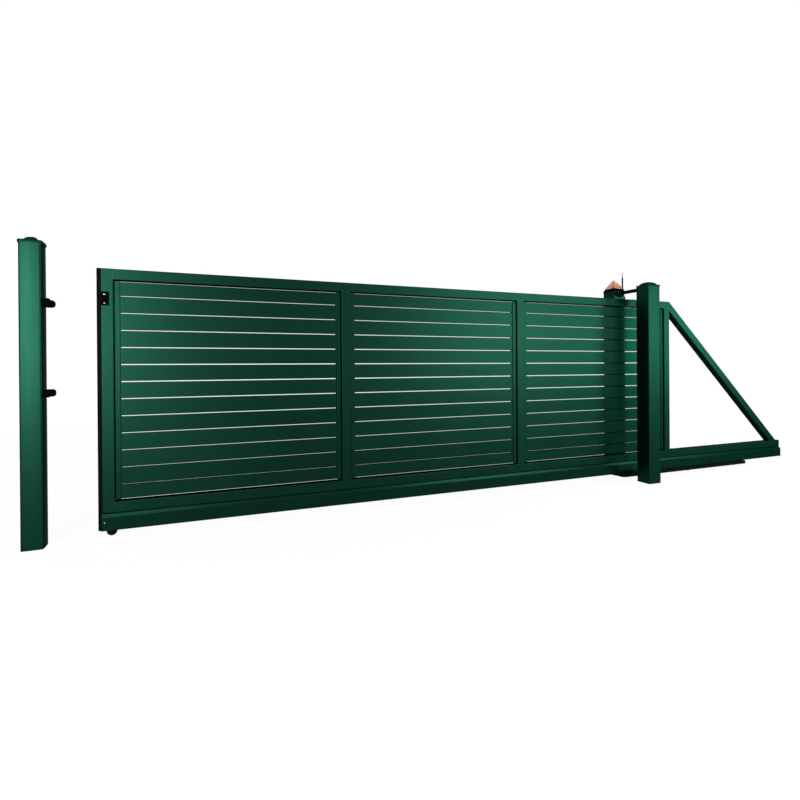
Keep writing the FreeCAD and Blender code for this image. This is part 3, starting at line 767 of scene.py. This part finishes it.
def ground_weld(shape, start, end, back, inward):
    """Fills the groove that a tube's rounded edge leaves beside the tube that meets it."""
    back, inward = Vector(back), Vector(inward)
    reach = FRAME_RADIUS - WELD_FIT
    rings = []
    for corner in (Vector(start), Vector(end)):
        ring = [corner - WELD_LAP * back - WELD_PROUD * inward,
                corner + WELD_DEPTH * back - WELD_PROUD * inward,
                corner + WELD_DEPTH * back + WELD_BACKING * inward]
        middle = corner + FRAME_RADIUS * back + FRAME_RADIUS * inward
        for step in range(7):
            angle = math.radians(90 * step / 6)
            ring.append(middle - reach * math.cos(angle) * inward - reach * math.sin(angle) * back)
        ring.append(corner - WELD_LAP * back + FRAME_RADIUS * inward)
        rings.append(ring)
    skin_rings(shape, rings)


low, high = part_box("top_rail")
TOP_UNDER, TOP_OVER, FACE, BACK = low[2], high[2], low[1], high[1]
low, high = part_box("bottom_rail")
LOW_UNDER, LOW_OVER, TAIL_END = low[2], high[2], high[0]
low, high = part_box("closing_stile")
STILE_FRONT, STILE_EDGE = low[0], high[0]
BRACE_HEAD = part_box("rear_stile")[1][0]
BRACE_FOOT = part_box("tail_brace")[1][0]
joints = []
for under, top in ((TOP_UNDER, TOP_OVER), (LOW_UNDER, LOW_OVER)):
    joints.append(((STILE_EDGE, under + WELD_END), (STILE_EDGE, top - WELD_END), (-1, 0, 0)))
for tube in ("first_mullion", "second_mullion", "rear_stile"):
    low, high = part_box(tube)
    joints.append(((low[0] + WELD_END, TOP_UNDER), (high[0] - WELD_END, TOP_UNDER), (0, 0, 1)))
    joints.append(((low[0] + WELD_END, LOW_OVER), (high[0] - WELD_END, LOW_OVER), (0, 0, -1)))
joints.append(((BRACE_HEAD, TOP_UNDER - BRACE_HEAD_DROP), (BRACE_HEAD, TOP_UNDER), (-1, 0, 0)))
joints.append(((BRACE_FOOT - BRACE_FOOT_RUN, LOW_OVER), (BRACE_FOOT - WELD_END, LOW_OVER), (0, 0, -1)))
shape = bmesh.new()
for (x0, z0), (x1, z1), back in joints:
    ground_weld(shape, (x0, FACE, z0), (x1, FACE, z1), back, (0, 1, 0))
    ground_weld(shape, (x0, BACK, z0), (x1, BACK, z1), back, (0, -1, 0))
show_piece("ground_welds", shape, [green_paint], "leaf")

# The infill: thin folded slats, set level between two upright edge strips in each bay. The slats at the
# top and foot are cut narrower, and each was coated on its own before the panel went together.
SLAT_GAP = 0.0054
SLAT_PITCH = 0.0886 + SLAT_GAP
END_SLAT = 0.0738
SLAT_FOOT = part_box("front_infill")[0][2] + END_SLAT + SLAT_GAP / 2 - SLAT_PITCH
slat_paint = green_coat("green_slat_coat", (0.25, 0.25, 0.25), SATIN, SLAT_FOOT, SLAT_PITCH)
for panel in ("front_infill", "middle_infill", "rear_infill"):
    finish_node(panel, slat_paint)

# The running rail: a rolled steel channel with sloped shoulders, slotted below, under the whole leaf
# and its tail. A plate closes each end, bolts hold the front one, and a plug closes the tube above
# the rail's tail. A thin black strip lies in the joint between tube and rail, a painted shadow line.
RAIL_BOLT_IN, RAIL_BOLT_UP = 0.013, 0.043
PLUG_RISE = 0.008
SHADOW_LINE_SECTION = ((-0.0005, 0.0036), (-0.0008, 0.0014), (-0.0005, -0.0008), (0.0010, -0.0020),
                   (0.0040, 0.0002), (0.0008, 0.0040))
finish_node("track_rail", green_coat("green_rail_coat", (0.48, 0.48, 0.48), 0.30))
finish_node("rear_rail_cap", cap_plastic)
finish_node("front_rail_cap", black_enamel("rail_cap_paint", 0.003))
rail_zinc = zinc_plate("rail_bolt_zinc", 0.15)
low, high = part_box("track_rail")
shape = bmesh.new()
for y, way in ((low[1], -1), (high[1], 1)):
    seat = (low[0] + RAIL_BOLT_IN, y - way * SEATED, low[2] + RAIL_BOLT_UP)
    screw_head(shape, seat, (0, way, 0), 0.0046, 0.0026, hex_socket)
show_piece("rail_end_bolts", shape, [rail_zinc], "leaf")

shape = bmesh.new()
outline = rounded_outline(FACE, BACK, LOW_UNDER, LOW_OVER, (FRAME_RADIUS,) * 4)
slab(shape, outline, (TAIL_END, 0, 0), (0, 1, 0), UPWARDS, (1, 0, 0), PLUG_RISE, 0.0015)
show_piece("tail_tube_plug", shape, [cap_plastic], "leaf")

# Painted shadow: a black strip laid along the joint between tube and rail, where the joint is in shade.
shadow_line_finish = black_plastic("shadow_line_black", 0.0024, 0.6)
shape = bmesh.new()
for y, inward in ((FACE, 1), (BACK, -1)):
    bead = [(y + inward * u, LOW_UNDER + v) for u, v in SHADOW_LINE_SECTION]
    skin_rings(shape, [[Vector((x, across, z)) for across, z in bead] for x in (STILE_FRONT, TAIL_END)])
show_piece("rail_joint_shadow_line", shape, [shadow_line_finish], "leaf")

# The end roller: a turned nylon wheel on an axle through the front cap's fork. It rides up on a shoe
# and takes the leaf's weight when the gate is shut.
PIPS = 6
PIP_CIRCLE = 0.0165
PIP_SEAT = 0.0018
PIP_PROFILE = ((0.0016, -0.0006), (0.0016, 0.0010), (0.0012, 0.0014))
low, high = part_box("end_roller")
x, z = (low[0] + high[0]) / 2, (low[2] + high[2]) / 2
radius = (high[0] - low[0]) / 2
face = ((0.0083, 0), (0.0125, 0), (0.0135, 0.0016), (0.0195, 0.0016), (0.0205, 0), (radius - 0.0020, 0),
        (radius - 0.0006, 0.0005), (radius, 0.0020))
shape = bmesh.new()
turned(shape, wheel_profile(face, high[1] - low[1]), (x, low[1], z), (0, 1, 0), 56, True)
for pip in range(PIPS):
    angle = math.tau * pip / PIPS
    for y, way in ((low[1] + PIP_SEAT, -1), (high[1] - PIP_SEAT, 1)):
        seat = (x + PIP_CIRCLE * math.cos(angle), y, z + PIP_CIRCLE * math.sin(angle))
        turned(shape, PIP_PROFILE, seat, (0, way, 0), 12)
show_piece("nylon_end_roller", shape, [roller_nylon], "end_roller", ["end_roller"])

# The safety edge: an extruded rubber buffer down the closing end of the leaf, in two halves. A soft
# hollow nose is clipped over a firmer brown-black foot strip, which is screwed to the stile and is
# thinner in front of the rail's cap.
low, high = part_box("safety_edge")
NOSE_X, EDGE_X = low[0], high[0]
NOSE_RADIUS = 0.008
CLIP_X = EDGE_X - 0.0075
CLIP_LAP = 0.0002
CLIP_ROUND = 0.0012
STRIP_FRONT, STRIP_BACK = low[1] + 0.0004, high[1] - 0.0004
STRIP_BEVEL = 0.001
CAP_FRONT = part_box("front_rail_cap")[0][0] - 0.0001
nose_rubber = black_plastic("nose_rubber", 0.0034, 0.55)
foot_rubber = black_plastic("foot_rubber", 0.0044, 0.60, 1.10)


def extruded(shape, outline, foot, top, finish=0):
    """A straight run of an extruded section, its two cut ends just broken."""
    slab(shape, outline, (0, 0, foot), (1, 0, 0), (0, 1, 0), UPWARDS, top - foot, 0.0004, finish)


nose = []
for middle_y, start in ((high[1] - NOSE_RADIUS, 90), (low[1] + NOSE_RADIUS, 180)):
    for step in range(9):
        angle = math.radians(start + 90 * step / 8)
        nose.append((NOSE_X + NOSE_RADIUS * (1 + math.cos(angle)), middle_y + NOSE_RADIUS * math.sin(angle)))
nose += [(CLIP_X - CLIP_ROUND, low[1]), (CLIP_X - CLIP_LAP, low[1] + CLIP_ROUND),
         (CLIP_X - CLIP_LAP, high[1] - CLIP_ROUND), (CLIP_X - CLIP_ROUND, high[1])]
strip_nose = [(CLIP_X + 0.0006, STRIP_BACK), (CLIP_X - CLIP_LAP, STRIP_BACK - STRIP_BEVEL),
              (CLIP_X - CLIP_LAP, STRIP_FRONT + STRIP_BEVEL), (CLIP_X + 0.0006, STRIP_FRONT)]
shape = bmesh.new()
extruded(shape, nose, low[2], high[2])
for back_x, foot, top in ((EDGE_X, LOW_UNDER, high[2]), (CAP_FRONT, low[2], LOW_UNDER)):
    extruded(shape, strip_nose + [(back_x, STRIP_FRONT), (back_x, STRIP_BACK)], foot, top, 1)
show_piece("rubber_safety_edge", shape, [nose_rubber, foot_rubber], "leaf", ["safety_edge"])

# The wear plate: a black plastic plate on the stile where the upper catch takes it, held by two bright
# cross-recess screws. The upper screw's zinc is brighter than the lower's, a painted highlight above and
# painted shade below.
low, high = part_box("wear_plate")
WEAR_CORNER = 0.004
WEAR_BEVEL = 0.0009
SCREW_X = low[0] + 0.018
SCREW_LEVELS = (high[2] - 0.0155, low[2] + 0.0125)
SCREW_PAINTED_LIGHT = (0.45, 0.20)
CROSS_LONG, CROSS_HALF, CROSS_DEPTH = 0.0032, 0.0008, 0.0013


def cross_recess(u, v):
    """How deep a cross recess is sunk at a point of a screw head."""
    along, beside = max(abs(u), abs(v)), min(abs(u), abs(v))
    return CROSS_DEPTH if along < CROSS_LONG and beside < CROSS_HALF else 0


shape = bmesh.new()
outline = rounded_outline(low[0] + 0.0002, high[0], low[2], high[2], (WEAR_CORNER,) * 4)
slab(shape, outline, (0, high[1], 0), (1, 0, 0), UPWARDS, (0, -1, 0), high[1] - low[1], WEAR_BEVEL)
show_piece("moulded_wear_plate", shape, [catch_plastic], "leaf", ["wear_plate"])
shape = bmesh.new()
for finish, z in enumerate(SCREW_LEVELS):
    seat = (SCREW_X, low[1] + SEATED, z)
    screw_head(shape, seat, (0, -1, 0), 0.0044, 0.0024, cross_recess, finish=finish)
# The two screws are alike, but the upper one gets a brighter zinc as a painted highlight and the lower one a
# darker zinc as painted shade.
screw_zincs = [zinc_plate("wear_plate_zinc_" + str(shade), shade) for shade in SCREW_PAINTED_LIGHT]
show_piece("wear_plate_screws", shape, screw_zincs, "leaf")
